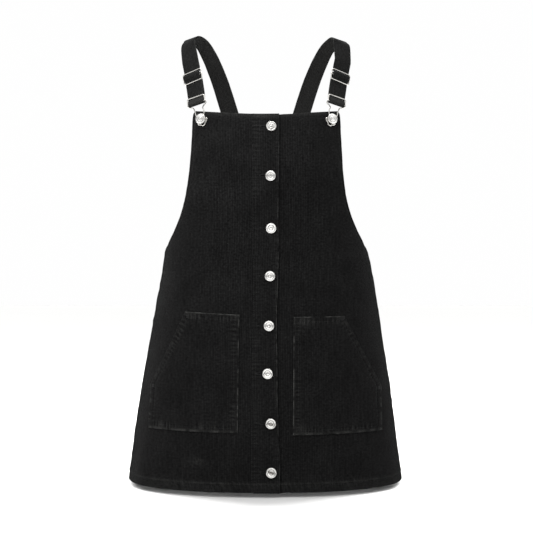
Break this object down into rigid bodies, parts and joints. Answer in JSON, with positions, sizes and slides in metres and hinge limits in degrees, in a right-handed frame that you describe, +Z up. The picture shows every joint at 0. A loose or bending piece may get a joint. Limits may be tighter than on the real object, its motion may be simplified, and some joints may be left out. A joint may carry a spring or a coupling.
{
  "type": "pinafore dress",
  "caption": "Sleeveless A-line dungaree dress in corduroy with a bib, a button-through front, patch pockets and shoulder straps on clips, filled out as worn.",
  "frame": {"origin": "midway between the two shoulder straps, at the height of the undersides of the straps where they cross the shoulders", "axes": "+Z up towards the shoulders, the front faces -Y, +X towards the right-hand side as seen from the front"},
  "size_m": [0.4873, 0.3092, 0.7918],
  "materials": {
    "black_corduroy": "fine-wale corduroy, black",
    "nickel_plated_brass": "bright nickel plate",
    "nickel_plated_wire": "satin nickel plate"
  },
  "bodies": {
    "root": {"front_left_as_seen": "black_corduroy", "front_right_as_seen": "black_corduroy", "back": "black_corduroy", "button_band": "black_corduroy", "pocket_left_as_seen": "black_corduroy", "pocket_right_as_seen": "black_corduroy", "strap_left_as_seen": "black_corduroy", "strap_right_as_seen": "black_corduroy", "slider_left_as_seen": "nickel_plated_wire", "slider_right_as_seen": "nickel_plated_wire", "clip_left_as_seen": "nickel_plated_wire", "clip_right_as_seen": "nickel_plated_wire", "button_1": "nickel_plated_brass", "button_2": "nickel_plated_brass", "button_3": "nickel_plated_brass", "button_4": "nickel_plated_brass", "button_5": "nickel_plated_brass", "button_6": "nickel_plated_brass", "button_7": "nickel_plated_brass", "button_8": "nickel_plated_brass", "clip_button_left_as_seen": "nickel_plated_brass", "clip_button_right_as_seen": "nickel_plated_brass"}
  },
  "joints": []
}
